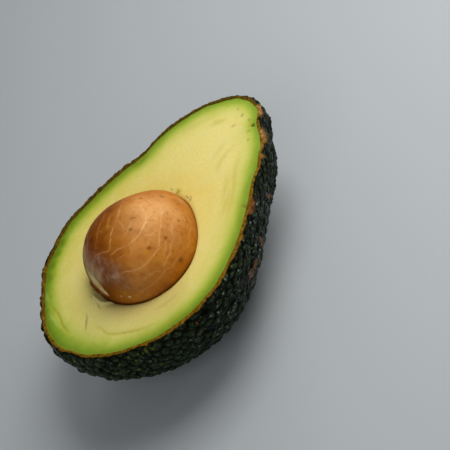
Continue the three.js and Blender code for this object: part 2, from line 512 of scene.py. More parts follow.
# The seed
seed = {
    "centre": (-9.85, -3.2, 0.0),
    "halfAxes": (16.8, 17.9, 17.1),
    "yaw": 0.215,
    "egg": 0.055,
    "tip": 3.0,
    "rows": 236,
    "columns": 410,
    "bunching": 0.42,  # draws the columns together on the side that stands out
    "veinWidth": 0.15,
    "veinHalo": 0.6,
    "coatThickness": 0.25,
    "tornRise": 0.45,
    "contactHeight": 0.5,  # the painted shadow line where the seed sinks into the flesh
    # Veins of the side that shows, as pixels of the picture, each with how strongly it shows
    "veins": [
        (1.0, [(140.5, 205), (144.4, 212), (147, 216.2), (145.3, 223), (143, 228), (139, 234.6),
            (134.7, 240), (129.5, 244.7), (123.3, 247.3), (117, 250), (112.7, 252.6),
            (110.5, 255.3)]),
        (0.9, [(123, 202), (119.3, 212.6), (117, 219.6), (114.5, 226.6), (111.8, 232.8),
            (110.5, 240), (109.7, 247), (108.8, 250.9), (103, 253), (97.8, 254.4), (94.2, 256.1)]),
        (0.6, [(104, 214.5), (102.2, 219.6), (99.5, 225.8), (97.3, 232.8), (96.4, 240),
            (94.7, 248.6)]),
        (0.6, [(112.7, 214.3), (109.2, 217.9), (107.5, 224), (106.5, 228)]),
        (1.0, [(168.6, 206.4), (162.5, 213), (161.1, 218), (161.1, 225.8), (159.8, 232.8),
            (159.4, 241.6), (158, 248.6), (155, 253.5), (150.6, 257.9), (146.2, 263.6),
            (141.8, 266.7), (135.6, 269.8), (130.3, 271.5), (123.3, 272.9), (118.9, 275.5)]),
        (0.9, [(170, 222), (172, 229.3), (172.6, 239.8), (170.8, 245), (170.8, 252.2),
            (167.3, 257.5), (163.8, 264.5), (161.1, 270.6), (155.9, 272), (149.7, 274.6),
            (144.4, 278.1)]),
        (0.7, [(182.3, 251.7), (178.7, 256.6), (175.2, 261.9), (170.8, 267.1), (166.4, 269.8),
            (161.6, 274.6), (158.5, 279.5), (153.2, 284.7), (148.8, 287.4)]),
        (0.7, [(185.8, 214.3), (189.3, 219.6), (191, 225.8), (189.3, 232.8), (189.3, 241.6),
            (187.5, 248.6)]),
        (0.6, [(176, 217.9), (172.6, 224), (173, 230.2), (173.5, 235.4)]),
        (0.5, [(147, 216.2), (153, 218.5), (159, 218), (163, 217)]),
        (0.5, [(140.5, 204), (135.6, 203.8), (130.3, 205.5)]),
        (0.5, [(140.9, 232), (149, 235), (156, 232), (161, 229)]),
        (0.5, [(129.5, 244.7), (131.2, 250.4), (130.3, 255.7)]),
        (0.5, [(130.3, 255.7), (123.3, 256.6), (116.2, 260)]),
        (0.6, [(161.1, 270.6), (166.4, 268.9), (172.6, 267.5)]),
        (0.4, [(135.6, 287.4), (130.3, 287.8), (123.3, 286.5)]),
        (0.5, [(151.5, 285.6), (144.4, 290), (139, 291.8)]),
        (0.5, [(110.5, 255.3), (111.8, 260), (113.6, 266.3), (116.2, 270)]),
        (0.5, [(166.4, 241), (165.5, 250), (162.9, 256)]),
        (0.4, [(178.7, 228), (180.5, 236), (179, 244)]),
        (0.4, [(132, 222), (128, 229), (124, 235), (120, 238)]),
        (0.4, [(151, 236), (148, 244), (142, 250), (136, 256)]),
        (0.4, [(116, 219), (122, 224), (124, 230)]),
    ],
    "otherVeins": 15,
    # Marks of the same side: pixel and size in millimetres
    "specks": [
        (109.5, 211.2, 0.9), (131.2, 218, 0.4), (134.3, 218.2, 0.35), (179.2, 221.2, 0.4),
        (165.5, 237.2, 0.45), (149.3, 248.4, 0.6), (91.6, 240.7, 0.8), (180.5, 260, 0.7),
        (172.6, 250.8, 0.35), (131, 229.5, 0.5), (107, 232, 0.3), (162, 197, 0.6),
        (141, 198.6, 0.5),
    ],
    "nicks": [(129.5, 297, 0.45), (121.5, 296.5, 0.25)],
    "glows": [(152, 213, 10.5, 0.85), (182, 202, 1.8, 0.5), (140, 289, 8.0, 0.3)],  # paler places: painted highlight over the crown's paler tone, painted light on the seed's lower side, a pale torn spot near the tip
    "cream": [
        (86.5, 270.5, 1.2), (89.5, 275, 1.8), (93, 279.5, 2.1), (96.8, 283.8, 2.0),
        (100.6, 288.4, 1.7), (104.2, 292.6, 1.4), (107.3, 295.2, 0.9),
    ],
    "haze": [(84, 251, 2.0), (84.5, 258, 2.3), (87, 265, 2.5), (92, 271, 2.4), (98, 276, 2.0)],
    "grey": [
        (86, 253, 2.2), (90, 259, 2.6), (97, 265, 2.8), (104, 270, 2.8), (112, 276, 3.0),
        (121, 281, 2.6), (116, 270, 2.2), (128, 286, 1.6),
    ],
    "torn": [(93, 285.5, 0.9), (95.6, 288, 1.1), (98.4, 290.6, 0.8)],
}


def seedPoint(along, around, grow=0.0):
    ax, ay, az = seed["halfAxes"]
    c = np.cos(along)
    width = np.sin(along) * (1 - seed["egg"] * c)
    x = (ax + grow) * c + seed["tip"] * np.maximum(c, 0) ** 4
    y = (ay + grow) * width * np.cos(around)
    z = -(az + grow) * width * np.sin(around)
    cosYaw = math.cos(seed["yaw"])
    sinYaw = math.sin(seed["yaw"])
    parts = np.broadcast_arrays(x * cosYaw - y * sinYaw, x * sinYaw + y * cosYaw, z)
    return np.stack(parts, -1) + np.array(seed["centre"])


def castToSeed(direction, grow=0.0):
    # where rays from the seed's centre leave it
    ax, ay, az = (half + grow for half in seed["halfAxes"])
    cosYaw = math.cos(seed["yaw"])
    sinYaw = math.sin(seed["yaw"])
    dx = direction[..., 0] * cosYaw + direction[..., 1] * sinYaw
    dy = -direction[..., 0] * sinYaw + direction[..., 1] * cosYaw
    dz = direction[..., 2]
    around = np.arctan2(-dz / az, dy / ay)
    girth = np.hypot(ay * np.cos(around), az * np.sin(around))
    slope = np.arctan2(np.hypot(dy, dz), dx)
    low = np.zeros(slope.shape)
    high = np.full(slope.shape, np.pi)
    for _ in range(34):
        along = (low + high) / 2
        c = np.cos(along)
        x = ax * c + seed["tip"] * np.maximum(c, 0) ** 4
        y = girth * np.sin(along) * (1 - seed["egg"] * c)
        past = np.arctan2(y, x) > slope
        high = np.where(past, along, high)
        low = np.where(past, low, along)
    return seedPoint(along, around, grow)


def seedSpot(along, around):
    return seedPoint(math.radians(along), math.radians(around))


def makeSeedMaterial():
    material, tree = newMaterial("seedCoat")
    broad = noiseOf(tree, 8.0, 4.0, 0.6)
    base = rampOf(tree, broad, [
        (0.32, (152, 78, 0)),
        (0.50, (178, 100, 2)),
        (0.68, (192, 120, 18)),
    ])
    # painted highlight on the crown and painted light on the seed's lower side
    base = mixColour(tree, "light", base, (228, 170, 104))
    # darker to the blossom end, its own deeper tone with painted shade, and painted shade low down by the
    # flesh
    base = mixColour(tree, "dark", base, (104, 46, 0))
    mottle = spanOf(tree, noiseOf(tree, 1.5, 4.0, 0.7), 0.50, 0.70, 0.0, 0.42)
    base = mixColour(tree, mottle, base, (132, 62, 6))
    pale = spanOf(tree, noiseOf(tree, 2.3, 5.0, 0.7), 0.55, 0.75, 0.0, 0.28)
    base = mixColour(tree, pale, base, (220, 158, 66))
    streaky = spanOf(tree, noiseOf(tree, 2.2, 4.0, 0.6), 0.35, 0.70, 0.0, 1.0)
    grey = rampOf(tree, streaky, [
        (0.0, (134, 84, 58)),
        (0.5, (164, 116, 90)),
        (1.0, (198, 164, 138)),
    ])
    base = mixColour(tree, "grey", base, grey)
    base = mixColour(tree, "haze", base, (206, 174, 132))
    # veins paler under the painted highlight
    veinTone = mixColour(tree, "light", (236, 168, 92), (248, 210, 156))
    base = mixColour(tree, productOf(tree, "vein", 0.74), base, veinTone)
    base = mixColour(tree, "speck", base, (92, 42, 6))
    cream = rampOf(tree, noiseOf(tree, 1.3, 3.0), [(0.35, (206, 176, 112)), (0.65, (250, 230, 178))])
    base = mixColour(tree, "bare", base, cream)
    base = mixColour(tree, "torn", base, (100, 38, 0))
    # painted shadow along the line where the seed meets the flesh
    base = mixColour(tree, "contactShadow", base, (70, 20, 0))
    rough = spanOf(tree, noiseOf(tree, 3.0, 3.0), 0.35, 0.7, 0.36, 0.5)
    fine = bumpOf(tree, noiseOf(tree, 0.6, 5.0, 0.65), 0.35, 0.12)
    setLook(tree, base, rough, 0.04, fine)
    return material


def blobs(points, places, power=2):
    # soft round marks, each a point with its size
    mask = np.zeros(len(points))
    for centre, size in places:
        away = np.linalg.norm(points - centre, axis=1)
        mask = np.maximum(mask, np.exp(-(away / size) ** power))
    return mask


def makeSeed():
    rows = seed["rows"]
    columns = seed["columns"]
    # closer columns over the side that stands out of the flesh
    turn = 2 * np.pi * np.arange(columns) / columns
    around = (turn + seed["bunching"] * np.cos(turn))[None, :]
    along = (np.pi * np.arange(1, rows) / rows)[:, None]
    grid = seedPoint(along, around).reshape(-1, 3)
    points = np.vstack([seedPoint(0.0, 0.0)[None], grid, seedPoint(np.pi, 0.0)[None]])
    centre = np.array(seed["centre"])
    outward = (points - centre) / np.linalg.norm(points - centre, axis=1, keepdims=True)

    shown = points[outward @ pictureBack > 0.03]
    shownPixels = toPicture(shown)

    def under(place):
        return shown[np.argmin(np.linalg.norm(shownPixels - np.array(place[:2]), axis=1))]

    # veins: the ones that show, then wandering ones over the rest
    rng = np.random.default_rng(5)
    routes = [(strength, [under(place) for place in places]) for strength, places in seed["veins"]]
    for i in range(seed["otherVeins"]):
        aroundStart = (-50 + 230 * i / seed["otherVeins"]) % 360
        sway = rng.uniform(-9, 9)
        route = []
        for degrees in range(25, 156, 13):
            sway += rng.uniform(-6, 6)
            route.append(seedSpot(degrees, aroundStart + sway))
        routes.append((0.7, route))
        fork = route[rng.integers(3, 6)]
        branch = [seedSpot(degrees, aroundStart + sway + 9) for degrees in (105, 122, 138)]
        routes.append((0.6, [fork, *branch]))
    lines = [routePoints(route, 0.12) for _, route in routes]
    sideways = softVector(points, 1.3, 20) * 0.22
    distance, which = nearestOf(points + sideways, np.vstack(lines))
    strength = fadingOf(routes, lines, 0.3, 0.5)[which] * (0.75 + 0.35 * softNoise(points, 2.0, 31))
    halo = 0.14 * np.exp(-(distance / seed["veinHalo"]) ** 2)
    vein = np.exp(-(distance / seed["veinWidth"]) ** 2) + halo
    vein = np.clip(vein * strength, 0, 1)

    # the strip at the blossom end where the coat has come away, with a torn bit beside it
    wobble = 0.35 * softNoise(points, 2.4, 8) + 0.22 * softNoise(points, 0.9, 9)

    def marks(key, sway, power=2):
        places = [(under(place), place[2]) for place in seed[key]]
        return blobs(points + sway * wobble[:, None], places, power)

    bare = np.maximum(marks("cream", 1, 4), 0.9 * marks("nicks", 0, 4))
    haze = marks("haze", 1)
    grey = marks("grey", 1.2)
    torn = marks("torn", 1, 4)
    speck = 0.7 * marks("specks", 0.4)

    # lighter on the crown and the seed's lower side: painted highlight and painted light; darker low down
    # by the flesh: painted shade; darker to the blossom end: its own deeper tone with painted shade on
    # the side away from the light
    light = np.zeros(len(points))
    for *place, size, strength in seed["glows"]:
        away = np.linalg.norm(points - under(place), axis=1)
        light = light + strength * np.exp(-(away / size) ** 2) * (0.9 + 0.35 * softNoise(points, 4.0, 3))
    low = np.exp(-np.maximum(points[:, 2], 0) / 1.0)
    leftward = smoothStep(1.0, 15.0, -(points - centre) @ pictureRight + 2.5 * softNoise(points, 6.0, 4))
    dark = np.clip(0.85 * leftward + 0.25 * low, 0, 0.9)

    relief = 0.04 * vein + 0.10 * softNoise(points, 5.0, 11) + 0.03 * softNoise(points, 1.4, 12)
    relief = relief - seed["coatThickness"] * bare * (1 - torn) + seed["tornRise"] * torn
    # painted shadow on the lower side, close above the flesh
    downward = smoothStep(-3.0, 5.0, -(points - centre) @ pictureUp)
    contactShadow = downward * np.exp(-np.maximum(points[:, 2], 0) / seed["contactHeight"])
    points = points + outward * relief[:, None]
    masks = {
        "vein": vein,
        "bare": bare,
        "grey": 0.72 * grey,
        "speck": speck,
        "torn": torn,
        "haze": 0.8 * haze,
        "contactShadow": 0.75 * contactShadow * (1 - bare),
        "light": np.clip(light, 0, 1),
        "dark": dark,
    }
    faces = ringFaces(rows - 1, columns)
    makePiece("seed_body", points, faces, masks, makeSeedMaterial(), ["seed"])


makeSeed()
print("seed done")


# The flesh
flesh = {
    "columns": 520,
    "bowlRows": 18,
    "topRows": 154,
    "wallRows": 18,
    "cavityGap": 0.1,
    "lipDepth": 0.45,
    "lipReach": 0.5,
    "waveSize": 3.0,
    "waveDepth": 0.28,
    # The hollow beside the seed's blossom end, with the flap on its far side
    "hollow": [(90.5, 281), (94, 288), (100, 294.5), (107, 299.5), (112.5, 301)],
    "hollowDepth": 0.2,
    "hollowWidth": 1.7,
    "flapHeight": 0.55,
    "flapWidth": 0.6,
    "flap": [(93.5, 296.5), (97.5, 300), (101, 302.5), (106, 302.8), (112.5, 300.8)],
    # Marks on the cut face, as pixels of the picture with their size in millimetres
    "specks": [
        (92, 297, 0.3), (94.5, 289, 0.4), (97.5, 291.5, 0.35), (123.5, 332.5, 0.25),
        (186.3, 196, 0.3), (188.6, 197.6, 0.4), (190.2, 199.4, 0.3), (191.5, 197.2, 0.25),
    ],
    "greens": [(179, 190.5, 0.8), (178, 192.4, 0.5), (172.5, 189, 0.3)],
    "stemHole": [(252.4, 125.7, 0.56), (253.8, 125.4, 0.56)],
    "stemRing": [(250.6, 125.2, 0.6), (251.6, 124.6, 0.5)],
    "strokes": [
        (0.5, [(231, 127), (232.8, 125.9), (236, 124.6)]),
        (0.75, [(247, 132.6), (248.6, 131.6), (250.4, 130.6)]),
        (0.65, [(240.8, 116.8), (242.3, 115.2), (243.2, 112.8)]),
        (0.3, [(237, 107.4), (238.6, 109), (239.6, 109.6)]),
        (0.5, [(248, 118.2), (249.2, 119.6), (250.6, 121)]),
        (0.6, [(247.4, 142), (248.4, 140.4), (249, 138.8)]),
    ],
    "cracks": [
        (0.8, [(86.4, 313.5), (86.8, 318), (86, 322), (85.6, 327), (85, 332)]),
        (0.5, [(97.3, 303), (98.6, 306), (100.6, 309.5)]),
        (0.4, [(91, 295.5), (92.5, 298)]),
        (1.0, [(241.6, 206.4), (244, 206.4), (246.8, 208.2)]),
    ],
    "folds": [
        (1.0, [(48, 303), (55, 311), (59, 317), (62.5, 326), (66, 330), (71, 333.5)]),
        (0.9, [(95, 326.5), (99.5, 327.5), (103, 330.5), (107.5, 334), (116, 333.7), (124, 332.5),
            (134, 331), (146, 327.5), (158, 322)]),
        (0.4, [(93, 344), (96, 348), (100, 353)]),
        (0.5, [(150, 311), (160, 307), (170, 300), (178, 293)]),
    ],
    "sheens": [
        (0.7, [(49.5, 312.5), (55.5, 321), (60.5, 328.5)]),
        (0.5, [(47, 291), (47.5, 297), (50, 303)]),
    ],
    "streaks": [
        (0.5, [(236, 145), (230, 150), (224, 157), (219, 166), (217, 176)]),
        (0.7, [(241, 152), (236, 166), (234, 182), (232, 198), (226, 222)]),
        (0.8, [(211, 126), (218, 122.5), (226, 120)]),
        (0.5, [(228, 170), (226, 186), (221, 208)]),
        (0.6, [(231, 186), (227.5, 200), (221, 218)]),
        (0.35, [(172, 141), (190, 129), (208, 119), (226, 111)]),
        (0.4, [(226, 140), (219, 150), (213, 160)]),
        (0.4, [(120, 205), (104, 222), (90, 238), (80, 256)]),
        (0.4, [(130, 337), (150, 333), (168, 324), (184, 311)]),
    ],
    "greenReach": 10.0,
    "warmReach": 11.0,
    "warmSide": 25,
    "shadeReach": 7.0,
    "shadeSide": -150,
    # how deep the green is at places round the rim: angle in degrees, share
    "greenRound": [
        (-180, 0.35), (-171, 0.2), (-150, 0.35), (-121, 0.6), (-85, 0.5), (-60, 0.5), (-40, 0.35),
        (-20, 0.12), (0, 0.1), (18, 0.3), (50, 0.6), (78, 0.95), (100, 0.95), (134, 0.95),
        (143, 0.65), (168, 0.75), (180, 0.35),
    ],
    "darkerEdge": [(139, 160, 2.2), (62, 243, 1.2), (57, 254, 1.4), (52, 266, 1.5), (49, 278, 1.3)],
}


def rimLine():
    # the flesh's outline on the cut face, all the way round
    t = np.linspace(0, np.pi, 1500)
    return np.vstack([fruitPoint(t, 0.0 * t), fruitPoint(t[::-1][1:-1], np.pi + 0.0 * t[1:-1])])


def evenDirections(share, hub):
    # directions from the hub that step evenly along the outline
    rim = rimLine()
    closed = np.vstack([rim, rim[:1]])
    length = np.concatenate([[0], np.cumsum(np.linalg.norm(np.diff(closed, axis=0), axis=1))])
    angle = np.unwrap(np.arctan2(closed[:, 1] - hub[1], closed[:, 0] - hub[0]))
    return np.interp((share % 1.0) * length[-1], length, angle)


def rimWave(points):
    # the wavy line between flesh and skin, fading out below the cut
    near = np.exp(-np.abs(points[..., 2]) / 2.0)
    wave = softNoise(points, flesh["waveSize"], 40) + 0.5 * softNoise(points, 1.3, 41)
    return flesh["waveDepth"] * wave * near


def downRays(angle, drop):
    angle, drop = np.broadcast_arrays(angle, drop)
    return np.stack([np.cos(angle) * np.cos(drop), np.sin(angle) * np.cos(drop), -np.sin(drop)], -1)


def planeRoute(places, step=0.2):
    return routePoints([pixelToPlane(*place) for place in places], step)


def lineMask(points, routes, width):
    lines = [planeRoute(places) for _, places in routes]
    distance, which = nearestOf(points + 0.25 * softVector(points, 1.2, 80, True), np.vstack(lines))
    return np.exp(-(distance / width) ** 2) * fadingOf(routes, lines, 0.15, 1)[which]


def planeBlobs(points, places, power, sway):
    swayed = points + sway * softVector(points, 0.8, 82, True)
    return blobs(swayed, [(pixelToPlane(x, y), size) for x, y, size in places], power)


def makeFleshMaterial():
    material, tree = newMaterial("fleshCut")
    wander = spanOf(tree, noiseOf(tree, 3.5, 3.0, 0.6), 0.3, 0.7, -0.03, 0.03)
    rim = mathOf(tree, "ADD", "rim", wander, clamp=True)
    # from the skin inward: the deep green side, then the pale side
    deep = rampOf(tree, rim, [
        (0.00, (94, 112, 0)),
        (0.07, (90, 124, 0)),
        (0.16, (104, 140, 2)),
        (0.26, (132, 160, 24)),
        (0.38, (172, 184, 62)),
        (0.56, (206, 200, 94)),
        (1.00, (222, 206, 114)),
    ])
    pale = rampOf(tree, rim, [
        (0.00, (126, 156, 42)),
        (0.08, (136, 166, 48)),
        (0.16, (158, 180, 62)),
        (0.30, (194, 200, 88)),
        (0.48, (218, 212, 120)),
        (0.70, (228, 216, 130)),
        (1.00, (234, 220, 138)),
    ])
    colour = mixColour(tree, "greenSide", pale, deep)
    patchy = spanOf(tree, noiseOf(tree, 7.0, 3.0, 0.6), 0.3, 0.7, 0.55, 1.0)
    colour = mixColour(tree, productOf(tree, "warm", patchy), colour, (228, 198, 96))
    cells = spanOf(tree, noiseOf(tree, 0.7, 3.0, 0.7), 0.4, 0.72, 0.0, 0.22)
    colour = mixColour(tree, cells, colour, (172, 164, 66))
    cloudy = spanOf(tree, noiseOf(tree, 4.0, 4.0, 0.65), 0.5, 0.72, 0.0, 0.32)
    cloudy = productOf(tree, cloudy, spanOf(tree, rim, 0.2, 0.5))
    colour = mixColour(tree, cloudy, colour, (226, 216, 150))
    colour = mixColour(tree, productOf(tree, "line", 0.62), colour, (178, 164, 42))
    # painted shade in the hollow, in the cavity and below the seed's blossom end, lifted on the flap
    colour = mixColour(tree, productOf(tree, "paintedShade", 0.42), colour, (178, 150, 84))
    # painted highlight along the flap's ridge
    colour = mixColour(tree, "flap", colour, (228, 214, 152))
    colour = mixColour(tree, "sheen", colour, (178, 196, 100))
    colour = mixColour(tree, "mark", colour, (122, 74, 24))
    # painted shade in the stem hole
    colour = mixColour(tree, "hole", colour, (24, 18, 2))
    rough = spanOf(tree, noiseOf(tree, 2.0, 3.0), 0.35, 0.7, 0.36, 0.52)
    grain = bumpOf(tree, noiseOf(tree, 0.5, 4.0, 0.65), 0.25, 0.07)
    shader = setLook(tree, colour, rough, 0.2, grain)
    shader.inputs["Subsurface Weight"].default_value = 0.12
    shader.inputs["Subsurface Radius"].default_value = (1.0, 0.8, 0.3)
    shader.inputs["Subsurface Scale"].default_value = 2 * mm
    return material


def fleshHeight(points, seedAway):
    # the knife's surface: gentle waves, a soft lip at the cavity and the hollow beside the seed
    height = 0.16 * softNoise(points, 14.0, 50) + 0.05 * softNoise(points, 4.0, 51)
    drag = points * np.array([0.12, 1.0, 1.0])
    height = height + 0.03 * softNoise(drag, 0.9, 52)
    height = height - flesh["lipDepth"] * np.exp(-seedAway / flesh["lipReach"])
    flatPoints = points.reshape(-1, 3) * np.array([1.0, 1.0, 0.0])
    wobble = 0.3 * softNoise(flatPoints, 1.6, 53)
    fromHollow = (nearestOf(flatPoints, planeRoute(flesh["hollow"]))[0] + wobble).reshape(height.shape)
    hollow = np.exp(-(np.maximum(fromHollow, 0) / flesh["hollowWidth"]) ** 2)
    fromFlap = nearestOf(flatPoints, planeRoute(flesh["flap"]))[0].reshape(height.shape)
    flap = np.exp(-(fromFlap / flesh["flapWidth"]) ** 2)
    return height - flesh["hollowDepth"] * hollow + flesh["flapHeight"] * flap, hollow, flap


def makeFlesh():
    columns = flesh["columns"]
    hub = np.array(seed["centre"])
    angle = evenDirections(np.arange(columns) / columns, hub)[None, :]

    # cavity from its floor up to the rim, the cut face outward, then the outside down
    drop = (np.pi / 2 * (1 - np.arange(1, flesh["bowlRows"] + 1) / flesh["bowlRows"]))[:, None]
    bowl = castToSeed(downRays(angle, drop), flesh["cavityGap"])
    drop = (np.pi / 2 * np.arange(flesh["wallRows"]) / flesh["wallRows"])[:, None]
    alongWall, aroundWall = castToFruit(hub, downRays(angle, drop))
    wall = fruitPoint(alongWall, aroundWall)
    wall = wall + smoothNormal(alongWall, aroundWall) * rimWave(wall)[..., None]
    outer = wall[:1]
    wall = wall[1:]
    share = (np.arange(1, flesh["topRows"] + 1) / flesh["topRows"])[:, None, None]
    top = bowl[-1:] + (outer - bowl[-1:]) * share
    floorOfBowl = castToSeed(np.array([0.0, 0.0, -1.0]), flesh["cavityGap"])
    below = pointBelow(hub)

    # how far each point lies from the skin and from the seed
    topFlat = top.reshape(-1, 3)
    shape = top.shape[:2]
    rimAway = nearestOf(topFlat, rimLine())[0].reshape(shape)
    seedAway = np.linalg.norm(top - bowl[-1:], axis=-1)
    height, hollow, flap = fleshHeight(top, seedAway)

    def lines(key, width):
        return lineMask(topFlat, flesh[key], width).reshape(shape)

    def marks(key, power=2, sway=0.3):
        return planeBlobs(topFlat, flesh[key], power, sway).reshape(shape)

    crack = lines("cracks", 0.26)
    fold = lines("folds", 0.5)
    streak = lines("streaks", 0.9)
    sheen = lines("sheens", 0.5)
    stroke = lines("strokes", 0.42)
    mark = marks("specks")
    green = marks("greens")
    hole = marks("stemHole", 4, 0.05)
    ring = marks("stemRing", 2, 0.1)
    darker = marks("darkerEdge")
    height = height - 0.3 * crack - 0.2 * fold - 0.7 * hole + 0.3 * green
    settle = smoothStep(0.0, 1.2, rimAway)
    top[..., 2] += height * (0.35 + 0.65 * settle) - 0.12 * (1 - settle)
    edgeHeight = fleshHeight(bowl[-1:], np.zeros((1, columns)))[0]
    bowlShare = np.linspace(0, 1, flesh["bowlRows"])[:, None] ** 6
    bowl[..., 2] += bowlShare * edgeHeight

    rows = [bowl.reshape(-1, 3), topFlat, wall.reshape(-1, 3)]
    points = np.vstack([floorOfBowl[None], *rows, below[None]])

    def everywhere(onTop, onBowl=0.0, onWall=0.0):
        whole = [np.full(1, onBowl), np.full(bowl.shape[0] * columns, onBowl), onTop.ravel()]
        return np.concatenate([*whole, np.full(wall.shape[0] * columns, onWall), np.full(1, onWall)])

    # deep green along the upper side and round the blossom end
    turn = np.degrees(np.arctan2(top[..., 1], top[..., 0]))
    greenSide = np.interp(turn, *zip(*flesh["greenRound"]))
    reach = flesh["greenReach"] * (1 + 0.5 * smoothStep(145, 180, np.abs(turn)) * (top[..., 1] > -12))
    rim = np.clip((rimAway - 1.7 * darker) / reach, 0, 1)
    warmSide = smoothStep(-0.55, 0.8, np.cos(np.radians(turn - flesh["warmSide"])))
    warm = 0.9 * np.exp(-(seedAway / flesh["warmReach"]) ** 2) * warmSide
    # painted shade on the flesh beyond the seed's blossom end
    shadeSide = smoothStep(0.8, 0.97, np.cos(np.radians(turn - flesh["shadeSide"])))
    shaded = np.exp(-(seedAway / flesh["shadeReach"]) ** 2) * shadeSide
    masks = {
        "rim": everywhere(rim, 1.0),
        "greenSide": everywhere(greenSide, 0.5, 0.5),
        "warm": everywhere(warm, 0.3),
        "line": everywhere(np.clip(fold + 0.8 * streak + 1.6 * green + 1.8 * ring, 0, 2)),
        "paintedShade": everywhere(np.clip(0.9 * hollow - flap + shaded, 0, 1), 0.6),
        "mark": everywhere(np.clip(0.75 * mark + 0.85 * crack + stroke, 0, 1)),
        "hole": everywhere(hole),
        "flap": everywhere(0.6 * flap),
        "sheen": everywhere(sheen),
    }
    rowCount = flesh["bowlRows"] + flesh["topRows"] + flesh["wallRows"] - 1
    faces = [face[::-1] for face in ringFaces(rowCount, columns)]  # the rings run up from the inside
    makePiece("flesh_half", points, faces, masks, makeFleshMaterial(), ["flesh"])


makeFlesh()
print("flesh done")


# The skin
skin = {
    "side": 282,  # quads along each side of the square that is wrapped over the outside
    "thickness": 1.15,
    "pebbleSpacing": (2.0, 2.9),  # at the stem end and at the blossom end
    "pebbleJitter": 0.4,
    "pebbleStretch": 0.7,  # draws the pebbles out along the fruit
    "pebbleHeight": (0.4, 1.15),
    "pebbleRadius": 1.7,
    "valleyWidth": 0.6,
    "grainSpacing": (1.15, 1.15),
    "grainRadius": 0.85,
    "grainHeight": 0.24,
    "grainValley": 0.35,
    "rimRows": 9,
    "insideRows": 5,
    "insideGap": 0.02,
    "restFlat": 0.02,
    "cutFade": 3.0,  # how far below the cut the skin is thinner
    "bandBlur": 0.12,
    "browner": [
        (-180, 0.25), (-120, 0.15), (-40, 0.1), (-10, 0.4), (4, 0.95), (105, 0.9), (128, 0.5),
        (160, 0.3), (180, 0.25),
    ],
    # how wide the ochre band is at places round the rim: angle in degrees, millimetres
    "thinner": [
        (-180, 0.35), (-150, 0.2), (-60, 0.15), (-10, 0.35), (5, 0.5), (40, 0.45), (60, 0.35),
        (150, 0.3), (180, 0.35),
    ],
    "band": [
        (-180, 0.75), (-150, 1.0), (-125, 1.25), (-95, 1.1), (-60, 0.95), (-40, 0.9), (-22, 0.9),
        (-8, 0.8), (4, 1.3), (20, 1.6), (90, 1.3), (130, 1.15), (160, 0.85), (180, 0.75),
    ],
    # scuffs and corky patches, as pixels of the picture with size in millimetres
    "scuffs": [
        (250.4, 199.5, 0.9), (252, 203, 1.05), (251.8, 207.5, 1.05), (250.4, 211.5, 0.85),
        (269.5, 196, 0.6), (196.5, 323.3, 0.35),
    ],
    # narrow ones: both ends and half the width in pixels
    "slivers": [
        (260.3, 237, 263, 245.5, 1.0), (256.8, 259.6, 254.8, 268, 1.05),
        (252, 270, 251.2, 276.5, 1.5),
    ],
    # where the small glints are the most frequent
    "shiny": [(262, 210, 10), (258, 245, 12), (243, 290, 11), (225, 325, 8)],
    "cork": [
        (259, 107.5, 1.0), (260.5, 112, 1.1), (262, 131, 0.9), (264, 135.5, 1.1), (265.5, 140, 0.9),
        (261.5, 146, 0.6), (262, 156, 0.7),
    ],
    "dotSize": 0.26,
    "dots": [
        (133.5, 345.5), (138, 353.8), (143.5, 352.5), (144.5, 349), (147, 351), (152.8, 348.8),
        (135, 360), (118.5, 365), (139.5, 369), (150, 348), (161, 364), (74.5, 360.5), (128, 357),
        (121, 372), (117.5, 372.5),
    ],
}


def spacingAt(along, spacing):
    atStem, atBlossom = spacing
    return atStem + (atBlossom - atStem) * (1 - np.cos(along)) / 2


def pebbleTable(spacing, steps=600):
    # how many pebbles lie between the stem end and each step along the whole fruit
    t = np.pi * (np.arange(steps) + 0.5) / steps
    half = section(t)[1]
    speed = np.linalg.norm(smoothPoint(t + 0.001, 0.0) - smoothPoint(t - 0.001, 0.0), axis=-1) / 0.002
    ring = 2 * np.pi * half * speed * np.pi / steps
    return np.concatenate([[0], np.cumsum(ring / (spacingAt(t, spacing) ** 2 * math.sqrt(0.75)))])


def spreadCentres(spacing, jitter, rng):
    # places evenly spread on a golden-angle spiral and nudged
    table = pebbleTable(spacing)
    count = int(table[-1])
    along = np.interp(np.arange(count) + 0.5, table, np.linspace(0, np.pi, len(table)))
    wide = spacingAt(along, spacing)
    half = np.maximum(section(along)[1], wide)
    nudge = (rng.random((2, count)) - 0.5) * 2 * jitter * wide
    along = np.clip(along + nudge[0] / fruit["halfLength"], 0.02, np.pi - 0.02)
    around = np.arange(count) * math.pi * (3 - math.sqrt(5)) + nudge[1] / half
    points = fruitPoint(along, around)
    return points[points[:, 2] < 2.5]


def cellDistances(points, centres):
    # nearest and second nearest centre of each point
    tree = treeOf(centres)
    first = np.zeros(len(points))
    second = np.zeros(len(points))
    which = np.zeros(len(points), int)
    for i, point in enumerate(points):
        near, far = tree.find_n(point, 2)
        first[i] = near[2]
        second[i] = far[2]
        which[i] = near[1]
    return first, second, which


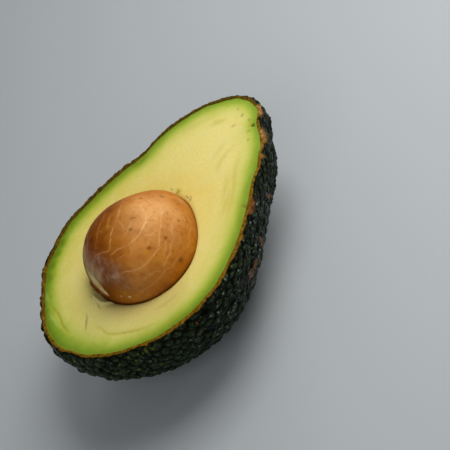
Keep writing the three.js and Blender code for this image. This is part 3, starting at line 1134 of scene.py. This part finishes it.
def pebbleRelief(points):
    rng = np.random.default_rng(17)
    warp = softVector(points, 2.6, 60) * 0.75
    centres = spreadCentres(skin["pebbleSpacing"], skin["pebbleJitter"], rng)
    low, high = skin["pebbleHeight"]
    tall = low + (high - low) * rng.random(len(centres))
    stretch = np.array([skin["pebbleStretch"], 1.0, 1.0])
    first, second, which = cellDistances((points + warp) * stretch, centres * stretch)
    dome = 1 - np.exp(-(((second - first) / skin["valleyWidth"]) ** 1.3))
    bulge = np.clip(1 - (first / skin["pebbleRadius"]) ** 2, 0, 1)
    relief = tall[which] * (0.35 * dome + 0.65 * bulge)
    grains = spreadCentres(skin["grainSpacing"], 0.4, rng)
    first, second, _ = cellDistances(points + 0.5 * warp, grains)
    grain = 1 - np.exp(-(((second - first) / skin["grainValley"]) ** 1.3))
    bulge = np.clip(1 - (first / skin["grainRadius"]) ** 2, 0, 1)
    relief = relief + skin["grainHeight"] * bulge * (0.4 + 0.6 * dome)
    relief = relief + 0.08 * softNoise(points, 0.9, 65) + 0.2 * softNoise(points, 6.0, 66)
    *place, _, spread = fruit["unevenness"][0]
    socket = np.exp(-np.sum((points - np.array(place)) ** 2, axis=1) / (2 * spread * spread))
    return relief * (1 - 0.5 * socket), dome * (0.55 + 0.45 * grain)


def makeSkinMaterial():
    material, tree = newMaterial("pebbledPeel")
    broad = noiseOf(tree, 5.0, 4.0, 0.65)
    peel = rampOf(tree, broad, [
        (0.30, (23, 29, 14)),
        (0.44, (36, 47, 24)),
        (0.54, (34, 55, 27)),
        (0.62, (46, 49, 26)),
        (0.76, (58, 49, 34)),
    ])
    # painted shade in the valleys between the pebbles, then painted light on some pebble tops
    peel = mixColour(tree, spanOf(tree, "dome", 0.15, 0.95, 1.0, 0.0), peel, (6, 8, 3))
    lit = spanOf(tree, noiseOf(tree, 1.1, 3.0, 0.7), 0.47, 0.63, 0.0, 0.85)
    peel = mixColour(tree, productOf(tree, lit, spanOf(tree, "dome", 0.4, 0.9)), peel, (70, 84, 58))
    # small pale glints on some of the grains
    glints = cellsOf(tree, 1.15)
    chosen = addNode(tree, "ShaderNodeSeparateColor")
    tree.links.new(glints.outputs["Color"], chosen.inputs["Color"])
    spot = spanOf(tree, glints.outputs["Distance"], 0.1, 0.42, 1.0, 0.0)
    bright = spanOf(tree, chosen.outputs["Red"], 0.25, 0.9)
    glint = productOf(tree, spot, bright, "shiny", spanOf(tree, "dome", 0.3, 0.7))
    peel = mixColour(tree, glint, peel, (172, 184, 172))
    # scattered yellow-green pores, more of them in some places
    pore = spanOf(tree, cellsOf(tree, 2.1).outputs["Distance"], 0.08, 0.17, 0.55, 0.0)
    pore = productOf(tree, pore, spanOf(tree, noiseOf(tree, 9.0), 0.5, 0.62))
    peel = mixColour(tree, pore, peel, (112, 124, 44))
    peel = mixColour(tree, "dot", peel, (132, 144, 40))
    scuff = rampOf(tree, noiseOf(tree, 1.0, 4.0), [(0.35, (98, 58, 30)), (0.65, (144, 92, 52))])
    peel = mixColour(tree, "scuff", peel, scuff)
    grainy = noiseOf(tree, 0.9, 4.0, 0.7)
    ochre = rampOf(tree, grainy, [
        (0.32, (72, 48, 4)),
        (0.50, (118, 84, 10)),
        (0.68, (156, 114, 28)),
    ])
    brown = rampOf(tree, grainy, [
        (0.32, (44, 34, 2)),
        (0.50, (72, 58, 6)),
        (0.68, (98, 78, 16)),
    ])
    edge = mixColour(tree, "browner", ochre, brown)
    colour = mixColour(tree, "cut", peel, edge)
    cork = rampOf(tree, grainy, [(0.35, (112, 72, 20)), (0.65, (174, 132, 74))])
    colour = mixColour(tree, "cork", colour, cork)
    rough = spanOf(tree, noiseOf(tree, 1.5, 3.0), 0.3, 0.7, 0.2, 0.32)
    rough = mathOf(tree, "ADD", rough, productOf(tree, "cut", 0.35), clamp=True)
    lumps = cellsOf(tree, 1.3, feature="SMOOTH_F1").outputs["Distance"]
    fine = bumpOf(tree, productOf(tree, lumps, -1.0), 0.5, 0.35)
    fine = bumpOf(tree, noiseOf(tree, 0.6, 4.0, 0.6), 0.15, 0.1, fine)
    setLook(tree, colour, rough, 0.04, fine)
    return material


def squareToDisc(side):
    # an even square grid wrapped to a disc: share of the way out, and angle as a share of the turn
    v = np.linspace(-1, 1, side + 1)
    a, b = np.meshgrid(v, v, indexing="ij")
    wide = np.abs(a) > np.abs(b)
    safeA = np.where(a == 0, 1, a)
    safeB = np.where(b == 0, 1, b)
    out = np.where(wide, a, b)
    turn = np.where(wide, np.pi / 4 * b / safeA, np.pi / 2 - np.pi / 4 * a / safeB)
    turn = np.where(out < 0, turn + np.pi, turn)
    return np.abs(out), (turn / (2 * np.pi)) % 1.0


def borderOf(side):
    # grid numbers of the square's border, in order of turn
    n = side + 1
    right = [side * n + j for j in range(n)]
    top = [i * n + side for i in range(side - 1, -1, -1)]
    left = list(range(side - 1, -1, -1))
    bottom = [i * n for i in range(1, side)]
    return right + top + left + bottom


def pixelBlobs(points, facing, places, power=4):
    # marks where the picture shows them, on the side that faces the camera
    pixels = toPicture(points)
    perMm = view["lengthInPicture"] / view["fleshLength"]
    return blobs(pixels, [((x, y), size * perMm) for x, y, size in places], power) * facing


def pixelSlivers(points, facing, slivers):
    # narrow marks between two pixels of the picture
    pixels = toPicture(points)
    mask = np.zeros(len(points))
    for x, y, toX, toY, reach in slivers:
        run = np.array([toX - x, toY - y])
        share = np.clip((pixels - (x, y)) @ run / (run @ run), 0, 1)
        away = np.linalg.norm(pixels - (x, y) - share[:, None] * run, axis=1)
        mask = np.maximum(mask, np.exp(-(away / reach) ** 4) * facing)
    return mask


def bearingOf(points):
    return np.degrees(np.arctan2(points[:, 1], points[:, 0]))


def bandWidth(points):
    # width of the ochre band, measured from the flesh outward
    ragged = 0.4 * softNoise(points, 2.2, 75) + 0.22 * softNoise(points, 0.7, 76)
    return np.interp(bearingOf(points), *zip(*skin["band"])) * (1.05 + ragged)


def makeSkin():
    side = skin["side"]
    hub = np.zeros(3)
    out, turn = squareToDisc(side)
    angle = evenDirections(turn.ravel(), hub).reshape(turn.shape)
    along, around = castToFruit(hub, downRays(angle, np.pi / 2 * (1 - out)))
    base = fruitPoint(along, around).reshape(-1, 3)
    normal = smoothNormal(along, around).reshape(-1, 3)
    relief, dome = pebbleRelief(base)
    # skin and relief are thinner where the knife crossed them, most of all on the far side
    atCut = 1 - smoothStep(0.0, skin["cutFade"], -base[:, 2])
    thinner = atCut * np.interp(bearingOf(base), *zip(*skin["thinner"]))
    outside = base + normal * (skin["thickness"] * (1 - 0.4 * thinner) + relief * (1 - thinner))[:, None]

    # flattened where it rests
    lowest = -origin[2] + skin["restFlat"]
    outside[:, 2] = np.maximum(outside[:, 2], lowest)

    # the cut edge, from the outer line in to the flesh, then down the inside
    border = borderOf(side)
    count = len(border)
    edgeOut = outside[border]
    inner = base[border] + normal[border] * rimWave(base[border])[:, None]
    across = np.linalg.norm(edgeOut - inner, axis=1)
    rows = []
    fromFlesh = []
    for k in range(1, skin["rimRows"] + 1):
        share = k / skin["rimRows"]
        row = edgeOut + (inner - edgeOut) * share
        rough = 0.10 * softNoise(row, 0.6, 70) + 0.12 * softNoise(row, 2.2, 71)
        row[:, 2] += (rough + 0.06) * math.sin(math.pi * min(share, 0.85)) - 0.04
        rows.append(row)
        fromFlesh.append(across * (1 - share))
    centreLow = pointBelow(hub)
    edgeAngle = angle.ravel()[border]
    insideRows = []
    for k in range(1, skin["insideRows"]):
        rays = downRays(edgeAngle, np.pi / 2 * k / skin["insideRows"])
        insideRows.append(fruitPoint(*castToFruit(hub, rays), skin["insideGap"]))
    points = np.vstack([outside, *rows, *insideRows, centreLow[None]])

    n = side + 1
    faces = []
    for i in range(side):
        for j in range(side):
            faces.append((i * n + j, i * n + j + 1, (i + 1) * n + j + 1, (i + 1) * n + j))
    ringCount = len(rows) + len(insideRows)
    rings = [border] + [list(range(n * n + k * count, n * n + (k + 1) * count)) for k in range(ringCount)]
    for first, second in zip(rings, rings[1:]):
        for j in range(count):
            after = (j + 1) % count
            faces.append((first[j], first[after], second[after], second[j]))
    last = len(points) - 1
    faces += [(rings[-1][j], rings[-1][(j + 1) % count], last) for j in range(count)]

    # the ochre band next to the flesh, ragged on its outer side and here and there over the edge
    rimPoints = np.vstack(rows)
    rimBearing = bearingOf(rimPoints)
    edgeBearing = bearingOf(edgeOut)
    inTurn = np.argsort(edgeBearing)
    cutWidth = np.interp(bearingOf(outside), edgeBearing[inTurn], across[inTurn], period=360)
    blur = skin["bandBlur"]
    band = 1 - smoothStep(-blur, blur, np.concatenate(fromFlesh) - bandWidth(rimPoints))
    pastFlesh = cutWidth + 1.2 * np.maximum(-outside[:, 2], 0)
    overEdge = 1 - smoothStep(-blur, blur, pastFlesh - bandWidth(outside))
    padding = len(insideRows) * count + 1

    def padded(onOutside, onRim=0.0, onInside=0.0):
        rim = onRim if np.ndim(onRim) else np.full(len(rimPoints), onRim)
        return np.concatenate([onOutside, rim, np.full(padding, onInside)])

    facing = (normal @ pictureBack > 0.03).astype(float)
    jitter = 0.5 * softVector(outside, 1.2, 84)
    near = outside + jitter
    browner = np.interp(rimBearing, *zip(*skin["browner"]))
    scuff = pixelBlobs(outside + 0.3 * jitter, facing, skin["scuffs"])
    scuff = np.maximum(scuff, pixelSlivers(outside, facing, skin["slivers"]))
    dots = [(*place, skin["dotSize"]) for place in skin["dots"]]
    masks = {
        "cut": padded(overEdge, band, 1.0),
        "browner": padded(np.zeros(len(outside)), browner),
        "dome": padded(dome, 0.25),
        "cork": padded(pixelBlobs(near, facing, skin["cork"]), pixelBlobs(rimPoints, 1.0, skin["cork"])),
        "scuff": padded(scuff, pixelBlobs(rimPoints, 0.7, skin["scuffs"])),
        "shiny": padded(0.2 + 0.8 * pixelBlobs(outside, facing, skin["shiny"], 2)),
        "dot": padded(0.75 * pixelBlobs(near, facing, dots, 2)),
    }
    makePiece("skin_peel", points, faces, masks, makeSkinMaterial(), ["skin"])


makeSkin()
print("skin done")
